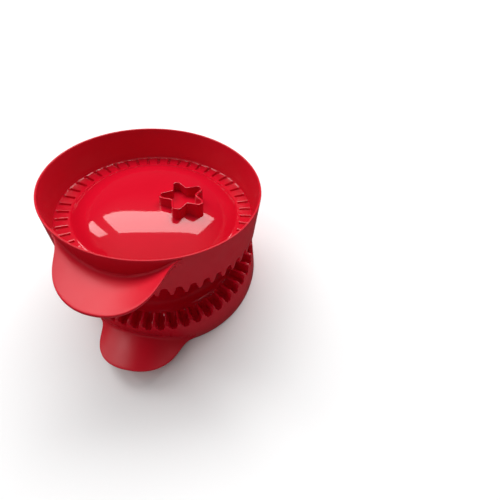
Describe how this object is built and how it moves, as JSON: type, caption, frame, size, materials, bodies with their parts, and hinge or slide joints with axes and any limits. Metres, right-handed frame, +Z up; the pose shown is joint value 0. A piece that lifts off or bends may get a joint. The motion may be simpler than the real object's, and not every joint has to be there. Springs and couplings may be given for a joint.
{
  "type": "hand pie press",
  "caption": "Hinged round press of two fluted plastic halves with thumb tabs; cuts, fills and crimps a hand pie, with a small star vent cutter.",
  "frame": {"origin": "under the middle of the whole press's box, on the surface the press stands on", "axes": "+Z up; the thumb tabs point to -Y, the hinge pin lies along X on the +Y side"},
  "size_m": [0.12, 0.1506, 0.0916],
  "materials": {
    "red_plastic_lower": "gloss moulded red polypropylene",
    "red_plastic_upper": "gloss moulded red polypropylene",
    "red_plastic_pin": "red plastic pin"
  },
  "bodies": {
    "lower": {"lower_half": "red_plastic_lower", "hinge_pin": "red_plastic_pin"},
    "upper": {"upper_half": "red_plastic_upper"}
  },
  "joints": [
    {"name": "hinge", "type": "hinge", "parent": "lower", "child": "upper", "pos_m": [0, 0.07096, 0.0286], "axis": [-1, 0, 0], "range_deg": [-16.7, 163.3]}
  ]
}
